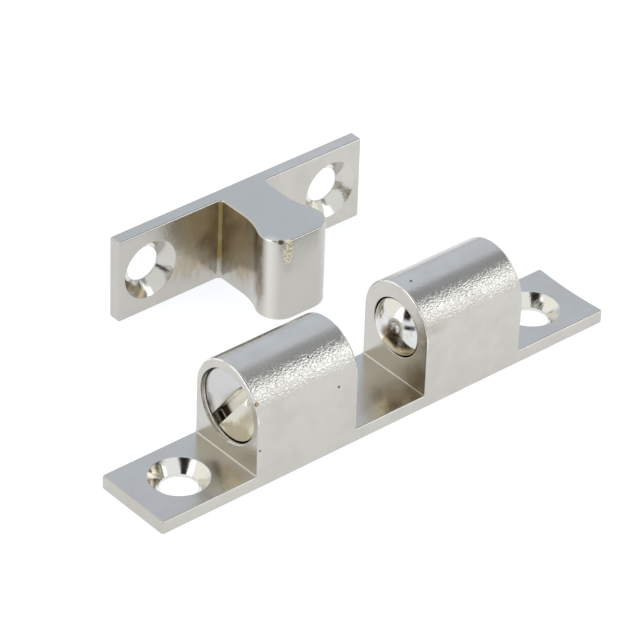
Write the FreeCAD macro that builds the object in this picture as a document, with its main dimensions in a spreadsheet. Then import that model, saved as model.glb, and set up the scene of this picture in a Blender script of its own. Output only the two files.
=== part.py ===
import FreeCAD, Part
import math
import os
import Sketcher

# Double ball catch: a body with two sprung balls that face each other across a gap,
# and a strike whose tongue is held between them.
# Millimetres. The origin is the centre of the body's bottom face, +X runs along the
# body, +Z is up, and the strike stands beside the body on the +Y side.

doc = FreeCAD.newDocument("ball_catch")

# Driving sizes
SIZES = {
    # catch body
    "plate_length": 60,
    "plate_width": 9.9,
    "plate_thickness": 1.6,
    "barrel_length": 13.2,
    "arch_height": 7.85,
    "bore_height": 7.55,
    "foot_radius": 0.3,
    "corner_radius": 0.35,
    "edge_break": 0.2,
    "end_hollow": 0.25,
    "body_hole_inset": 6.05,
    "body_countersink": 6.5,
    "lip_thickness": 0.5,
    "mouth_chamfer": 0.15,
    # strike
    "strike_length": 33.5,
    "strike_height": 10.15,
    "strike_thickness": 1.65,
    "strike_hole_inset": 4.25,
    "strike_countersink": 6.9,
    "tongue_reach": 12.25,
    "tongue_width": 8.1,
    "neck_width": 6,
    "nose_radius": 2.5,
    "flare_radius": 7.5,
    "root_radius": 0.5,
    "strike_place_x": 5.9,
    "strike_place_y": 28.2,
    # holes for the wood screws, the same in both pieces
    "fixing_hole": 4,
    "countersink_angle": 90,
    # balls, springs and adjusting screws
    "ball_diameter": 7.94,
    "wire_diameter": 0.6,
    "spring_diameter": 5.8,
    "end_coil_pitch": 0.65,
    "open_coils": 2,
    "screw_diameter": 8.2,
    "screw_thickness": 2.3,
    "screw_recess": 0.45,
    "screw_chamfer": 0.2,
    "slot_width": 1.3,
    "slot_depth": 1.1,
    "slot_tilt_left": 36.4,
    "slot_tilt_right": -58,
    # clearances
    "tongue_clearance": 0.6,
    "neck_clearance": 0.1,
    "ball_seat_clearance": 0.05,
    "screw_clearance": 0.05,
    "spring_clearance": 0.05,
}

sizes = doc.addObject("Spreadsheet::Sheet", "sizes")
for row, (alias, size) in enumerate(SIZES.items(), start=1):
    sizes.set(f"A{row}", alias)
    sizes.set(f"B{row}", str(size))
    sizes.setAlias(f"B{row}", alias)
doc.recompute()

# Sizes worked out from the driving ones.
# The tongue passes between the barrels, and the balls close on its neck.
barrel_gap = "(sizes.tongue_width + 2 * sizes.tongue_clearance)"
ball_proud = f"(({barrel_gap} - sizes.neck_width) / 2 - sizes.neck_clearance)"
inner_face = f"({barrel_gap} / 2)"
outer_face = f"({inner_face} + sizes.barrel_length)"
arch_top = "(sizes.arch_height + sizes.plate_width / 2)"

# The ball rests on the inner edge of the lip.
ball_radius = "(sizes.ball_diameter / 2)"
ball_centre = f"({inner_face} + {ball_radius} - {ball_proud})"
lip_inside = f"({inner_face} + sizes.lip_thickness)"
seat_reach = f"({ball_radius} + sizes.ball_seat_clearance)"
mouth_radius = f"sqrt({seat_reach} ^ 2 - ({ball_centre} - {lip_inside}) ^ 2)"
bore_radius = "(sizes.screw_diameter / 2 + sizes.screw_clearance)"

# The spring lies between the screw's inner face and the back of the ball.
screw_face = f"({outer_face} - sizes.screw_recess)"
spring_outer_end = f"({screw_face} - sizes.screw_thickness - sizes.spring_clearance)"
coil_radius = "((sizes.spring_diameter - sizes.wire_diameter) / 2)"
ring_reach = f"({ball_radius} + sizes.spring_clearance + sizes.wire_diameter / 2)"
spring_inner_end = f"({ball_centre} + sqrt({ring_reach} ^ 2 - {coil_radius} ^ 2))"
spring_length = f"({spring_outer_end} - {spring_inner_end})"
open_length = f"({spring_length} - 2 * sizes.end_coil_pitch)"

OVERCUT = 1.0
WIRE_SIDES = 6


def number(formula):
    return float(sizes.evalExpression(formula))


def vector(x, y, z=0.0):
    return FreeCAD.Vector(x, y, z)


def line(x_from, y_from, x_to, y_to):
    return Part.LineSegment(vector(x_from, y_from), vector(x_to, y_to))


def arc(x, y, radius, start_degrees, end_degrees):
    circle = Part.Circle(vector(x, y), vector(0, 0, 1), radius)
    return Part.ArcOfCircle(circle, math.radians(start_degrees), math.radians(end_degrees))


def new_body(name):
    body = doc.addObject("PartDesign::Body", name)
    body.Label = name
    return body


def origin_plane(body, role):
    return next(f for f in body.Origin.OriginFeatures if f.Role == role)


def new_sketch(body, name, role, raised_by=None):
    """A sketch on one of the body's origin planes, moved along its normal."""
    sketch = body.newObject("Sketcher::SketchObject", name)
    sketch.AttachmentSupport = [(origin_plane(body, role), "")]
    sketch.MapMode = "FlatFace"
    if raised_by:
        sketch.setExpression("AttachmentOffset.Base.z", raised_by)
    return sketch


def outline(sketch, *pieces):
    """Adds a closed outline. A piece is (shape, joint to the next), with "smooth" for a
    tangent joint, or (shape, joint, "back") for an arc that is followed clockwise."""
    first = sketch.GeometryCount
    for piece in pieces:
        sketch.addGeometry(piece[0])
    for index, piece in enumerate(pieces):
        following = (index + 1) % len(pieces)
        end = 1 if "back" in piece else 2
        start = 2 if "back" in pieces[following] else 1
        kind = "Tangent" if piece[1] == "smooth" else "Coincident"
        sketch.addConstraint(
            Sketcher.Constraint(kind, first + index, end, first + following, start)
        )
    return first


def level(sketch, *lines):
    for index in lines:
        sketch.addConstraint(Sketcher.Constraint("Horizontal", index))


def upright(sketch, *lines):
    for index in lines:
        sketch.addConstraint(Sketcher.Constraint("Vertical", index))


def dimension(sketch, name, formula, kind, *where):
    """A named dimension that follows the sheet."""
    index = sketch.addConstraint(Sketcher.Constraint(kind, *where, number(formula)))
    sketch.renameConstraint(index, name)
    sketch.setExpression("Constraints." + name, formula)


def circle_at(sketch, name, x_formula, y_formula, diameter_formula):
    centre = vector(number(x_formula), number(y_formula))
    circle = Part.Circle(centre, vector(0, 0, 1), number(diameter_formula) / 2)
    index = sketch.addGeometry(circle)
    place_point(sketch, name, x_formula, y_formula, index, 3)
    dimension(sketch, name + "_diameter", diameter_formula, "Diameter", index)
    return index


def polygon_at(sketch, name, sides, x_formula, y_formula, diameter_formula):
    """A regular polygon in a construction circle, with one side upright."""
    around = circle_at(sketch, name, x_formula, y_formula, diameter_formula)
    sketch.setConstruction(around, True)
    circle = sketch.Geometry[around]
    turn = 2 * math.pi / sides
    corners = [circle.value((side - 0.5) * turn) for side in range(sides + 1)]
    first = outline(
        sketch,
        *((line(a.x, a.y, b.x, b.y), "corner") for a, b in zip(corners, corners[1:])),
    )
    upright(sketch, first)
    for index in range(first, first + sides):
        sketch.addConstraint(Sketcher.Constraint("PointOnObject", index, 1, around))
        if index > first:
            sketch.addConstraint(Sketcher.Constraint("Equal", first, index))


def place_point(sketch, name, x_formula, y_formula, index, point):
    """Sets a point's distances from the sketch's own origin, on either side of it."""
    for axis, kind, formula in (("_x", "DistanceX", x_formula), ("_y", "DistanceY", y_formula)):
        if number(formula) == 0:
            line_of_axis = -2 if kind == "DistanceX" else -1
            sketch.addConstraint(Sketcher.Constraint("PointOnObject", index, point, line_of_axis))
        else:
            dimension(sketch, name + axis, formula, kind, -1, 1, index, point)


def pad(body, name, sketch, length, symmetric=False):
    feature = body.newObject("PartDesign::Pad", name)
    feature.Profile = sketch
    feature.setExpression("Length", length)
    if symmetric:
        feature.SideType = "Symmetric"
    return feature


def cut(body, kind, name, sketch, **settings):
    """A pocket or groove, which has to take material away."""
    before = solid_volume(body)
    feature = body.newObject("PartDesign::" + kind, name)
    feature.Profile = sketch
    for key, value in settings.items():
        setattr(feature, key, value)
    doc.recompute()
    if not solid_volume(body) < before:
        raise ValueError(name + " cuts nothing")
    return feature


def solid_volume(body):
    doc.recompute()
    return body.Shape.Volume


def mirrored(body, name, original):
    """The same feature on the other side of the body's YZ plane."""
    feature = body.newObject("PartDesign::Mirrored", name)
    feature.Originals = [original]
    feature.MirrorPlane = (origin_plane(body, "YZ_Plane"), [""])
    body.Tip = feature
    doc.recompute()
    return feature


def fixing_holes(body, name, sketch, countersink):
    """Countersunk holes through the plate, entered from the sketch's side."""
    doc.recompute()
    feature = body.newObject("PartDesign::Hole", name)
    feature.Profile = sketch
    feature.DepthType = "ThroughAll"
    feature.DrillPoint = "Flat"
    feature.HoleCutType = "Countersink"
    feature.HoleCutCustomValues = True
    feature.setExpression("Diameter", "sizes.fixing_hole")
    feature.setExpression("HoleCutDiameter", countersink)
    feature.setExpression("HoleCutCountersinkAngle", "sizes.countersink_angle")
    doc.recompute()
    return feature


def normal_near(face, point):
    return face.normalAt(*face.Surface.parameter(point))


def is_sharp(shape, edge):
    """True where the edge's two faces meet at an angle instead of running on smoothly."""
    middle = edge.valueAt((edge.FirstParameter + edge.LastParameter) / 2)
    faces = shape.ancestorsOfType(edge, Part.Face)
    if len(faces) < 2:
        return False
    return normal_near(faces[0], middle).getAngle(normal_near(faces[1], middle)) > math.radians(20)


def dress_edges(body, kind, name, chosen, size_name, formula):
    """A fillet or chamfer on the sharp edges of the body so far that pass the test."""
    doc.recompute()
    last = body.Tip
    names = [
        f"Edge{index}"
        for index, edge in enumerate(last.Shape.Edges, start=1)
        if is_sharp(last.Shape, edge) and chosen(edge)
    ]
    feature = body.newObject("PartDesign::" + kind, name)
    feature.Base = (last, names)
    feature.setExpression(size_name, formula)
    doc.recompute()
    return feature


def break_edges(body):
    """The small chamfer that deburring leaves on every sharp edge."""
    return dress_edges(body, "Chamfer", "broken_edges", lambda edge: True, "Size", "sizes.edge_break")


# Catch body: a bar of arched section, milled away beyond and between the two barrels,
# which leaves the plate, and bored from both ends
catch = new_body("catch_body")

section = new_sketch(catch, "bar_section", "YZ_Plane")
half_width = number("sizes.plate_width / 2")
arch_height = number("sizes.arch_height")
outline(
    section,
    (line(-half_width, 0, half_width, 0), "corner"),
    (line(half_width, 0, half_width, arch_height), "smooth"),
    (arc(0, arch_height, half_width, 0, 180), "smooth"),
    (line(-half_width, arch_height, -half_width, 0), "corner"),
)
level(section, 0)
upright(section, 1, 3)
section.addConstraint(Sketcher.Constraint("Symmetric", 0, 1, 0, 2, -1, 1))
dimension(section, "width", "sizes.plate_width", "DistanceX", 0, 1, 0, 2)
dimension(section, "arch_height", "sizes.arch_height", "DistanceY", -1, 1, 2, 3)
pad(catch, "bar", section, "sizes.plate_length", symmetric=True)

# The gap between the barrels, with the cutter's radius at the foot of each
gap_sketch = new_sketch(catch, "gap_outline", "XZ_Plane")
gap_half = number(inner_face)
foot = number("sizes.foot_radius")
floor_level = number("sizes.plate_thickness")
above = number(arch_top) + OVERCUT
outline(
    gap_sketch,
    (line(-gap_half, above, -gap_half, floor_level + foot), "smooth"),
    (arc(-gap_half + foot, floor_level + foot, foot, 180, 270), "smooth"),
    (line(-gap_half + foot, floor_level, gap_half - foot, floor_level), "smooth"),
    (arc(gap_half - foot, floor_level + foot, foot, 270, 360), "smooth"),
    (line(gap_half, floor_level + foot, gap_half, above), "corner"),
    (line(gap_half, above, -gap_half, above), "corner"),
)
level(gap_sketch, 2)
upright(gap_sketch, 0, 4)
gap_sketch.addConstraint(Sketcher.Constraint("Symmetric", 5, 1, 5, 2, -2))
gap_sketch.addConstraint(Sketcher.Constraint("Equal", 1, 3))
dimension(gap_sketch, "foot", "sizes.foot_radius", "Radius", 1)
dimension(gap_sketch, "floor_level", "sizes.plate_thickness", "DistanceY", -1, 1, 2, 1)
dimension(gap_sketch, "gap", barrel_gap, "DistanceX", 5, 2, 5, 1)
dimension(gap_sketch, "above", f"{arch_top} + {OVERCUT}", "DistanceY", -1, 1, 5, 1)
cut(catch, "Pocket", "gap", gap_sketch, Type="ThroughAll", SideType="Symmetric")

# The step down to the plate beyond each barrel
step_sketch = new_sketch(catch, "step_outline", "XZ_Plane")
barrel_end = -number(outer_face)
beyond = -number("sizes.plate_length / 2") - OVERCUT
outline(
    step_sketch,
    (line(barrel_end, floor_level + foot, barrel_end, above), "corner"),
    (line(barrel_end, above, beyond, above), "corner"),
    (line(beyond, above, beyond, floor_level), "corner"),
    (line(beyond, floor_level, barrel_end - foot, floor_level), "smooth"),
    (arc(barrel_end - foot, floor_level + foot, foot, 270, 360), "smooth"),
)
level(step_sketch, 1, 3)
upright(step_sketch, 0, 2)
dimension(step_sketch, "foot", "sizes.foot_radius", "Radius", 4)
dimension(step_sketch, "floor_level", "sizes.plate_thickness", "DistanceY", -1, 1, 3, 1)
dimension(step_sketch, "above", f"{arch_top} + {OVERCUT}", "DistanceY", -1, 1, 1, 1)
dimension(step_sketch, "barrel_end", outer_face, "DistanceX", 0, 1, -1, 1)
dimension(step_sketch, "beyond", f"sizes.plate_length / 2 + {OVERCUT}", "DistanceX", 2, 1, -1, 1)
step = cut(catch, "Pocket", "step", step_sketch, Type="ThroughAll", SideType="Symmetric")
mirrored(catch, "step_right", step)

# The slightly hollow saw cut at the +X end
hollow_sketch = new_sketch(catch, "hollow_outline", "XY_Plane")
end_x = number("sizes.plate_length / 2")
hollow_depth = number("sizes.end_hollow")
hollow_radius_formula = (
    "((sizes.plate_width / 2) ^ 2 + sizes.end_hollow ^ 2) / (2 * sizes.end_hollow)"
)
hollow_radius = number(hollow_radius_formula)
half_turn = math.degrees(math.asin(half_width / hollow_radius))
outline(
    hollow_sketch,
    (line(end_x, -half_width, end_x + OVERCUT, -half_width), "corner"),
    (line(end_x + OVERCUT, -half_width, end_x + OVERCUT, half_width), "corner"),
    (line(end_x + OVERCUT, half_width, end_x, half_width), "corner"),
    (
        arc(end_x - hollow_depth + hollow_radius, 0, hollow_radius, 180 - half_turn, 180 + half_turn),
        "corner",
    ),
)
level(hollow_sketch, 0, 2)
hollow_sketch.addConstraint(Sketcher.Constraint("Symmetric", 1, 1, 1, 2, -1))
dimension(hollow_sketch, "width", "sizes.plate_width", "DistanceY", 1, 1, 1, 2)
dimension(hollow_sketch, "end", "sizes.plate_length / 2", "DistanceX", -1, 1, 0, 1)
dimension(hollow_sketch, "far_end", "sizes.plate_length / 2", "DistanceX", -1, 1, 2, 2)
dimension(hollow_sketch, "beyond", f"{OVERCUT}", "DistanceX", 0, 1, 0, 2)
dimension(hollow_sketch, "hollow", hollow_radius_formula, "Radius", 3)
cut(catch, "Pocket", "end_hollow", hollow_sketch, Type="ThroughAll", SideType="Symmetric")


def is_plate_corner(edge):
    ends = [vertex.Point for vertex in edge.Vertexes]
    stands = len(ends) == 2 and abs(ends[0].z - ends[1].z) > number("sizes.plate_thickness / 2")
    return stands and all(abs(abs(end.x) - end_x) < 0.01 for end in ends)


dress_edges(catch, "Fillet", "plate_corners", is_plate_corner, "Radius", "sizes.corner_radius")
break_edges(catch)

# The stepped bore of the left barrel: wide from the outer face to the lip that holds
# the ball, and as wide as the ball's seat through the lip
bore_sketch = new_sketch(catch, "bore_outline", "XZ_Plane")
bore_sketch.setExpression("AttachmentOffset.Base.y", "sizes.bore_height")
bore = number(bore_radius)
mouth = number(mouth_radius)
chamfer = number("sizes.mouth_chamfer")
shoulder = -number(lip_inside)
outline(
    bore_sketch,
    (line(barrel_end - OVERCUT, 0, -gap_half + OVERCUT, 0), "corner"),
    (line(-gap_half + OVERCUT, 0, -gap_half + OVERCUT, mouth), "corner"),
    (line(-gap_half + OVERCUT, mouth, shoulder, mouth), "corner"),
    (line(shoulder, mouth, shoulder, bore), "corner"),
    (line(shoulder, bore, barrel_end + chamfer, bore), "corner"),
    (line(barrel_end + chamfer, bore, barrel_end, bore + chamfer), "corner"),
    (line(barrel_end, bore + chamfer, barrel_end - OVERCUT, bore + chamfer), "corner"),
    (line(barrel_end - OVERCUT, bore + chamfer, barrel_end - OVERCUT, 0), "corner"),
)
level(bore_sketch, 2, 4, 6)
upright(bore_sketch, 1, 3, 7)
for end_point in (1, 2):
    bore_sketch.addConstraint(Sketcher.Constraint("PointOnObject", 0, end_point, -1))
dimension(bore_sketch, "bore", bore_radius, "DistanceY", -1, 1, 4, 1)
dimension(bore_sketch, "mouth", mouth_radius, "DistanceY", -1, 1, 2, 1)
dimension(bore_sketch, "shoulder", lip_inside, "DistanceX", 3, 1, -1, 1)
dimension(bore_sketch, "inside", f"{inner_face} - {OVERCUT}", "DistanceX", 0, 2, -1, 1)
dimension(bore_sketch, "barrel_end", outer_face, "DistanceX", 5, 2, -1, 1)
dimension(bore_sketch, "outside", f"{outer_face} + {OVERCUT}", "DistanceX", 7, 1, -1, 1)
dimension(bore_sketch, "chamfer_along", "sizes.mouth_chamfer", "DistanceX", 5, 2, 5, 1)
dimension(bore_sketch, "chamfer_across", "sizes.mouth_chamfer", "DistanceY", 5, 1, 5, 2)
left_bore = cut(catch, "Groove", "left_bore", bore_sketch, ReferenceAxis=(bore_sketch, ["H_Axis"]))
mirrored(catch, "right_bore", left_bore)

holes_sketch = new_sketch(catch, "hole_places", "XY_Plane", "sizes.plate_thickness")
hole_x = "(sizes.plate_length / 2 - sizes.body_hole_inset)"
for side, sign in (("left", "-1"), ("right", "1")):
    circle_at(holes_sketch, side, f"{sign} * {hole_x}", "0", "sizes.fixing_hole")
fixing_holes(catch, "fixing_holes", holes_sketch, "sizes.body_countersink")

# Strike: a plate that stands on its long edge, with a tongue whose neck the balls
# close on; one outline in plan, as high as the plate
strike = new_body("strike")

plan = new_sketch(strike, "plan", "XY_Plane")
strike_half = number("sizes.strike_length / 2")
front = -number("sizes.strike_thickness")
neck = number("sizes.neck_width / 2")
root = number("sizes.root_radius")
nose = number("sizes.nose_radius")
flare = number("sizes.flare_radius")
nose_y = -number("sizes.tongue_reach")
nose_x = number("sizes.tongue_width / 2 - sizes.nose_radius")
# The flare's centre is one flare radius outside the neck, and flare plus nose radius
# from the nose's centre, so the two arcs run into each other.
flare_x = neck + flare
flare_y = nose_y + nose + math.sqrt((flare + nose) ** 2 - (flare_x - nose_x) ** 2)
turn = math.degrees(math.asin((flare_y - nose_y - nose) / (flare + nose)))
outline(
    plan,
    (line(-strike_half, 0, -strike_half, front), "corner"),
    (line(-strike_half, front, -neck - root, front), "smooth"),
    (arc(-neck - root, front - root, root, 0, 90), "smooth", "back"),
    (line(-neck, front - root, -neck, flare_y), "smooth"),
    (arc(-flare_x, flare_y, flare, -turn, 0), "smooth", "back"),
    (arc(-nose_x, nose_y + nose, nose, 180 - turn, 270), "smooth"),
    (line(-nose_x, nose_y, nose_x, nose_y), "smooth"),
    (arc(nose_x, nose_y + nose, nose, 270, 360 + turn), "smooth"),
    (arc(flare_x, flare_y, flare, 180, 180 + turn), "smooth", "back"),
    (line(neck, flare_y, neck, front - root), "smooth"),
    (arc(neck + root, front - root, root, 90, 180), "smooth", "back"),
    (line(neck + root, front, strike_half, front), "corner"),
    (line(strike_half, front, strike_half, 0), "corner"),
    (line(strike_half, 0, -strike_half, 0), "corner"),
)
level(plan, 1, 6, 11, 13)
upright(plan, 0, 3, 9, 12)
plan.addConstraint(Sketcher.Constraint("Symmetric", 13, 1, 13, 2, -1, 1))
plan.addConstraint(Sketcher.Constraint("Symmetric", 5, 3, 7, 3, -2))
plan.addConstraint(Sketcher.Constraint("Symmetric", 4, 3, 8, 3, -2))
plan.addConstraint(Sketcher.Constraint("Equal", 2, 10))
plan.addConstraint(Sketcher.Constraint("Equal", 0, 12))
dimension(plan, "length", "sizes.strike_length", "DistanceX", 13, 2, 13, 1)
dimension(plan, "thickness", "sizes.strike_thickness", "DistanceY", 0, 2, 0, 1)
dimension(plan, "reach", "sizes.tongue_reach", "DistanceY", 6, 1, -1, 1)
dimension(plan, "root", "sizes.root_radius", "Radius", 2)
dimension(plan, "nose", "sizes.nose_radius", "Radius", 5)
dimension(plan, "flare", "sizes.flare_radius", "Radius", 4)
dimension(plan, "neck", "sizes.neck_width", "DistanceX", 3, 1, 9, 2)
dimension(
    plan, "nose_centres", "sizes.tongue_width - 2 * sizes.nose_radius", "DistanceX", 5, 3, 7, 3
)
pad(strike, "tongue_and_plate", plan, "sizes.strike_height")
break_edges(strike)

strike_holes = new_sketch(strike, "hole_places", "XZ_Plane", "sizes.strike_thickness")
strike_hole_x = "(sizes.strike_length / 2 - sizes.strike_hole_inset)"
for side, sign in (("left", "-1"), ("right", "1")):
    circle_at(
        strike_holes, side, f"{sign} * {strike_hole_x}", "sizes.strike_height / 2", "sizes.fixing_hole"
    )
fixing_holes(strike, "fixing_holes", strike_holes, "sizes.strike_countersink")
strike.setExpression("Placement.Base.x", "sizes.strike_place_x")
strike.setExpression("Placement.Base.y", "sizes.strike_place_y")


def place(piece, x_formula, rotation=None):
    """Puts a piece on the bores' common axis."""
    if rotation:
        piece.Placement = FreeCAD.Placement(vector(0, 0), rotation)
    piece.setExpression("Placement.Base.x", x_formula)
    piece.setExpression("Placement.Base.z", "sizes.bore_height")


def make_ball(name, sign):
    ball = doc.addObject("Part::Sphere", name)
    ball.Label = name
    ball.setExpression("Radius", ball_radius)
    place(ball, f"{sign} * {ball_centre}")
    return ball


def make_spring(name, sign):
    """A coil spring along the barrel, with closed coils at both ends, ground flat. The
    round wire has six sides here, to keep the coils light."""
    coil = doc.addObject("PartDesign::Body", name + "_coil")
    stages = (
        ("inner_end", "0", "sizes.end_coil_pitch", "1"),
        ("open", "sizes.end_coil_pitch", open_length, "sizes.open_coils"),
        ("outer_end", f"sizes.end_coil_pitch + {open_length}", "sizes.end_coil_pitch", "1"),
    )
    for stage, start, length, turns in stages:
        wire = new_sketch(coil, f"{stage}_wire", "XZ_Plane")
        polygon_at(wire, "wire", WIRE_SIDES, coil_radius, start, "sizes.wire_diameter")
        doc.recompute()
        helix = coil.newObject("PartDesign::AdditiveHelix", f"{stage}_coils")
        helix.Profile = wire
        helix.ReferenceAxis = (wire, ["V_Axis"])
        helix.Mode = "height-turns-angle"
        helix.setExpression("Height", length)
        helix.setExpression("Turns", turns)
        doc.recompute()
    between_faces = doc.addObject("Part::Cylinder", name + "_length")
    between_faces.setExpression("Radius", "sizes.spring_diameter")
    between_faces.setExpression("Height", spring_length)
    spring = doc.addObject("Part::Common", name)
    spring.Label = name
    spring.Base = coil
    spring.Tool = between_faces
    outward = FreeCAD.Rotation(FreeCAD.Vector(0, 1, 0), sign * 90)
    place(spring, f"{sign} * {spring_inner_end}", outward)
    return spring


def make_screw(name, sign, slot_tilt):
    """A round plug that turns in the bore, with a driver slot right across its face."""
    screw = new_body(name)
    disc = new_sketch(screw, "disc_outline", "XY_Plane")
    circle_at(disc, "disc", "0", "0", "sizes.screw_diameter")
    plug = pad(screw, "disc", disc, "sizes.screw_thickness")
    plug.Reversed = True
    doc.recompute()
    rims = [
        f"Edge{index}"
        for index, edge in enumerate(plug.Shape.Edges, start=1)
        if len(edge.Vertexes) == 1
    ]
    rim_chamfer = screw.newObject("PartDesign::Chamfer", "rim_chamfer")
    rim_chamfer.Base = (plug, rims)
    rim_chamfer.setExpression("Size", "sizes.screw_chamfer")
    slot_sketch = new_sketch(screw, "slot_outline", "XY_Plane")
    reach = number("sizes.screw_diameter / 2") + OVERCUT
    half_slot = number("sizes.slot_width / 2")
    outline(
        slot_sketch,
        (line(-reach, -half_slot, reach, -half_slot), "corner"),
        (line(reach, -half_slot, reach, half_slot), "corner"),
        (line(reach, half_slot, -reach, half_slot), "corner"),
        (line(-reach, half_slot, -reach, -half_slot), "corner"),
    )
    level(slot_sketch, 0, 2)
    upright(slot_sketch, 1, 3)
    slot_sketch.addConstraint(Sketcher.Constraint("Symmetric", 0, 1, 1, 2, -1, 1))
    dimension(slot_sketch, "width", "sizes.slot_width", "DistanceY", 1, 1, 1, 2)
    dimension(
        slot_sketch, "across", f"sizes.screw_diameter + {2 * OVERCUT}", "DistanceX", 0, 1, 0, 2
    )
    slot = cut(screw, "Pocket", "slot", slot_sketch, Type="Length")
    slot.setExpression("Length", "sizes.slot_depth")
    facing_out = FreeCAD.Rotation(FreeCAD.Vector(0, 1, 0), sign * 90)
    tilted = FreeCAD.Rotation(FreeCAD.Vector(1, 0, 0), number(slot_tilt))
    place(screw, f"{sign} * {screw_face}", tilted * facing_out)
    return screw


parts = [catch, strike]
for side, sign in (("left", -1), ("right", 1)):
    parts.append(make_ball("ball_" + side, sign))
    parts.append(make_spring("spring_" + side, sign))
    parts.append(make_screw("screw_" + side, sign, "sizes.slot_tilt_" + side))

doc.recompute()
for item in doc.Objects:
    if "Invalid" in item.State or "Error" in item.State:
        raise ValueError(item.Name + " failed: " + ", ".join(item.State))
for item in parts:
    if item.Shape.isNull() or not item.Shape.isValid():
        raise ValueError(item.Label + " has no valid shape")

os.makedirs("parts", exist_ok=True)
for item in parts:
    item.Shape.exportStep(f"parts/{item.Label}.step")
    box = item.Shape.BoundBox
    print(f"{item.Label}: {item.Shape.Volume:.2f} mm3, {len(item.Shape.Solids)} solid(s), "
          f"{box.XLength:.2f} x {box.YLength:.2f} x {box.ZLength:.2f} mm")
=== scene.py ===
"""Looks of the double ball catch: its nickel-plated body and strike, balls, springs and screws."""

import math

import bmesh
import bpy
from mathutils import Matrix, Vector


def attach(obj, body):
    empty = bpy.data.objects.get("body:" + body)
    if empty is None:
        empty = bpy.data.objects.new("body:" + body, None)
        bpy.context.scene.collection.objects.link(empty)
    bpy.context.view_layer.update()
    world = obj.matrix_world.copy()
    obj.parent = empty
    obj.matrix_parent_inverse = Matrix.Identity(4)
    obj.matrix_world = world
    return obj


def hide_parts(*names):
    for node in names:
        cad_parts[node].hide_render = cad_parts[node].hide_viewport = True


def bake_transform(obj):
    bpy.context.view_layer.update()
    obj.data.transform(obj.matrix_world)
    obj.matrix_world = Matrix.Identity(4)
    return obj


# Sizes of the real pieces in millimetres, and turns in degrees: those of the solids, and of
# the roundings and threads that the solids leave out
PLATE_LENGTH = 60
PLATE_WIDTH = 9.9
PLATE_THICKNESS = 1.6
INNER_FACE = 4.65
OUTER_FACE = 17.85
ARCH_HEIGHT = 7.85
BORE_HEIGHT = 7.55
BORE_RADIUS = 4.15
LIP_INSIDE = 5.15
MOUTH_RADIUS = 3.53
ROLLED_RADIUS = 3.33
FOOT_RADIUS = 0.2
CORNER_RADIUS = 0.35
EDGE_ROUNDING = 0.22
BORE_ROUNDING = 0.15
MOUTH_ROUNDING = 0.12
HOLE_ROUNDING = 0.05
END_HOLLOW = 0.25
BODY_HOLE_X = 23.95
BODY_COUNTERSINK = 6.5
HOLE_DIAMETER = 4
STRIKE_LENGTH = 33.5
STRIKE_HEIGHT = 10.15
STRIKE_THICKNESS = 1.65
STRIKE_HOLE_X = 12.5
STRIKE_COUNTERSINK = 6.9
STRIKE_PLACE = Vector((5.9, 28.2, 0))
TONGUE_REACH = 12.25
TONGUE_WIDTH = 8.1
NECK_WIDTH = 6
NOSE_RADIUS = 2.5
FLARE_RADIUS = 7.5
ROOT_RADIUS = 0.5
BALL_DIAMETER = 7.94
BALL_CENTRE = 7.07
WIRE_RADIUS = 0.3
COIL_RADIUS = 2.6
SPRING_START = 10.52
SPRING_END = 15.05
CLOSED_COIL_PITCH = 0.65
OPEN_COILS = 2
CLOSED_COILS = 2
MEETING_COIL = 2.58
SCREW_RADIUS = 4.1
SCREW_FACE = 17.4
SCREW_THICKNESS = 2.3
SCREW_ROUNDING = 0.2
SLOT_WIDTH = 1.3
SLOT_DEPTH = 1.1
SLOT_ROUNDING = 0.06
SLOT_TILT = {"left": 36.4, "right": -58}
THREAD_PITCH = 0.75
THREAD_DEPTH = 0.28
THREAD_TURNS = 6
THREAD_INSET = 0.02

METRES = Matrix.Scale(0.001, 4)

# How fine the meshes are, and the least angle of an edge that is rounded
ROUND_STEPS = 96
COIL_STEPS = 64
WIRE_SIDES = 20
SHARP_EDGE = math.radians(30)

# How far a cutting shape stands out, the half length of the slot's, and how near to an edge
# a point counts as on it or beside it, in millimetres
BEYOND = 1.0
SLOT_REACH = 6
TOUCHING = 0.01
BESIDE = 0.05

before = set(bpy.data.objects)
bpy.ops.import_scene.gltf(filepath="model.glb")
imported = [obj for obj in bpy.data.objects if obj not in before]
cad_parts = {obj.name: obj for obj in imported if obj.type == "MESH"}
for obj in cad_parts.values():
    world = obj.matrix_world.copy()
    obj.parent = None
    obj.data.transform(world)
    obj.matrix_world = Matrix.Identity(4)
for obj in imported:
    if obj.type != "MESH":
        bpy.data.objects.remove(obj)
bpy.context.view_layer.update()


# Turns (u, v) in an outline's plane and w across it into the object's x, y and z
def across_x(u, v, w):
    return Vector((w, u, v))


def across_y(u, v, w):
    return Vector((u, w, v))


def across_z(u, v, w):
    return Vector((u, v, w))


def new_object(name, mesh):
    piece = bpy.data.objects.new(name, mesh)
    bpy.context.scene.collection.objects.link(piece)
    return piece


def object_from(name, vertices, faces):
    """A closed mesh whose faces point outwards."""
    mesh = bpy.data.meshes.new(name)
    mesh.from_pydata(vertices, [], faces)
    shape = bmesh.new()
    shape.from_mesh(mesh)
    bmesh.ops.remove_doubles(shape, verts=shape.verts, dist=1e-5)
    bmesh.ops.recalc_face_normals(shape, faces=shape.faces)
    shape.to_mesh(mesh)
    shape.free()
    return new_object(name, mesh)


def arc(x, y, radius, start, end, steps=8):
    """Points along an arc whose ends are given in degrees."""
    angles = [math.radians(start + (end - start) * step / steps) for step in range(steps + 1)]
    return [(x + radius * math.cos(angle), y + radius * math.sin(angle)) for angle in angles]


def prism(name, outline, low, high, direction):
    count = len(outline)
    vertices = [direction(u, v, w) for w in (low, high) for u, v in outline]
    faces = [tuple(range(count)), tuple(range(count, 2 * count))]
    for index in range(count):
        after = (index + 1) % count
        faces.append((index, after, count + after, count + index))
    return object_from(name, vertices, faces)


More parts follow.
